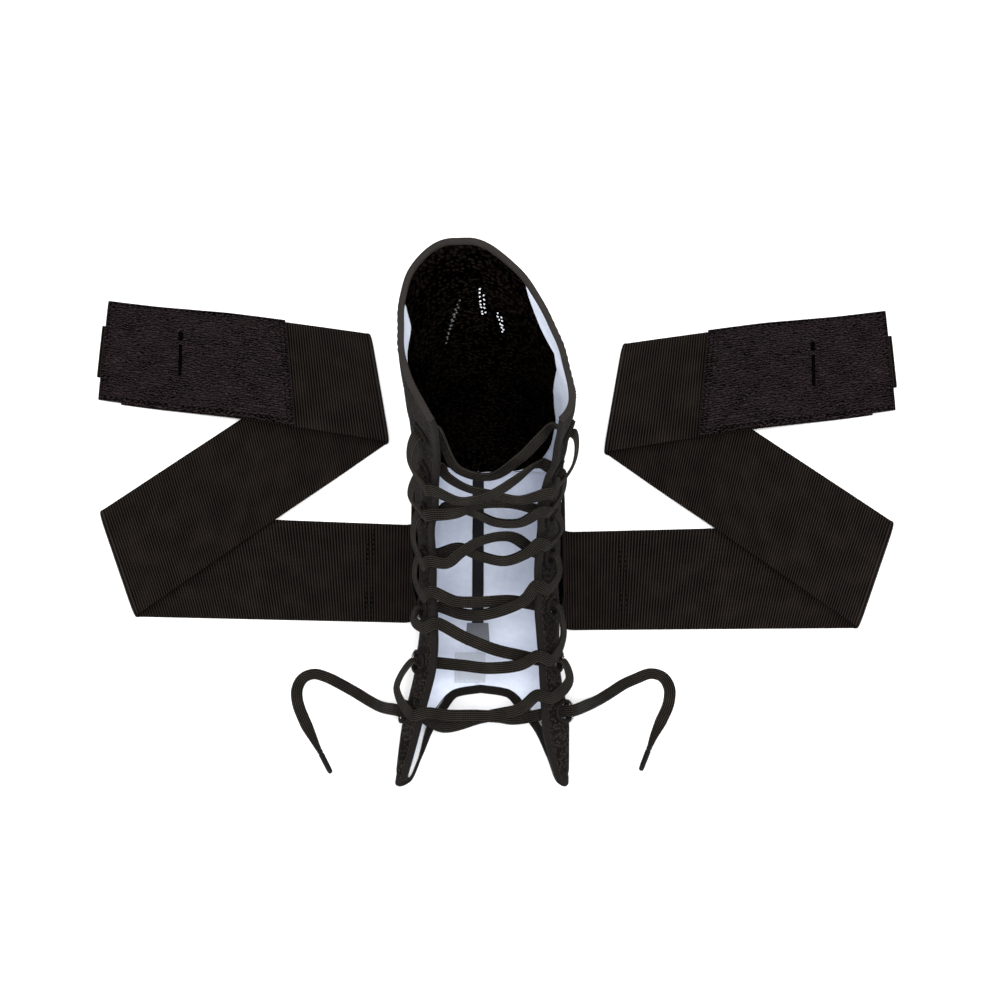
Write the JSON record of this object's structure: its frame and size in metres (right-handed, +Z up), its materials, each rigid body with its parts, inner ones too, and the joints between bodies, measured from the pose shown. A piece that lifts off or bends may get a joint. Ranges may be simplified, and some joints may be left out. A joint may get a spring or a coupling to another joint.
{
  "type": "lace-up ankle brace",
  "caption": "Lace-up ankle brace: a dark mesh boot with a pale lining, open toe and heel-high collar, laced up the front, with a wide webbing strap folded flat at each side",
  "frame": {"origin": "on the sole's underside below the ankle, at the straps' root", "axes": "+X towards the right strap, -Y towards the toes, +Z up the leg"},
  "size_m": [0.3644, 0.2439, 0.1903],
  "materials": {
    "panel_fabric": "knobbly knit mesh",
    "back_mesh": "fine perforated mesh",
    "binding_tape": "folded woven tape",
    "lining_fabric": "smooth brushed fabric",
    "webbing": "ribbed webbing",
    "fastener_patch": "fuzzy loop pile",
    "lace_braid": "flat braid",
    "aglet_plastic": "smooth",
    "eyelet_thread": "stitched ring",
    "label_cloth": "smooth satin"
  },
  "bodies": {
    "root": {"side_panel_left": "panel_fabric", "lining_left": "lining_fabric", "flap_binding_left": "binding_tape", "strap_left": "webbing", "strap_patch_left": "fastener_patch", "strap_tab_left": "webbing", "lace_end_left": "lace_braid", "aglet_left": "aglet_plastic", "eyelet_left_1": "eyelet_thread", "eyelet_left_2": "eyelet_thread", "eyelet_left_3": "eyelet_thread", "eyelet_left_4": "eyelet_thread", "eyelet_left_5": "eyelet_thread", "eyelet_left_6": "eyelet_thread", "eyelet_left_7": "eyelet_thread", "side_panel_right": "panel_fabric", "lining_right": "lining_fabric", "flap_binding_right": "binding_tape", "strap_right": "webbing", "strap_patch_right": "fastener_patch", "strap_tab_right": "webbing", "lace_end_right": "lace_braid", "aglet_right": "aglet_plastic", "eyelet_right_1": "eyelet_thread", "eyelet_right_2": "eyelet_thread", "eyelet_right_3": "eyelet_thread", "eyelet_right_4": "eyelet_thread", "eyelet_right_5": "eyelet_thread", "eyelet_right_6": "eyelet_thread", "eyelet_right_7": "eyelet_thread", "back_panel": "back_mesh", "collar_binding": "binding_tape", "lace": "lace_braid", "toe_binding": "binding_tape", "sole_seam_tape": "webbing", "sole_label": "label_cloth"}
  },
  "joints": []
}
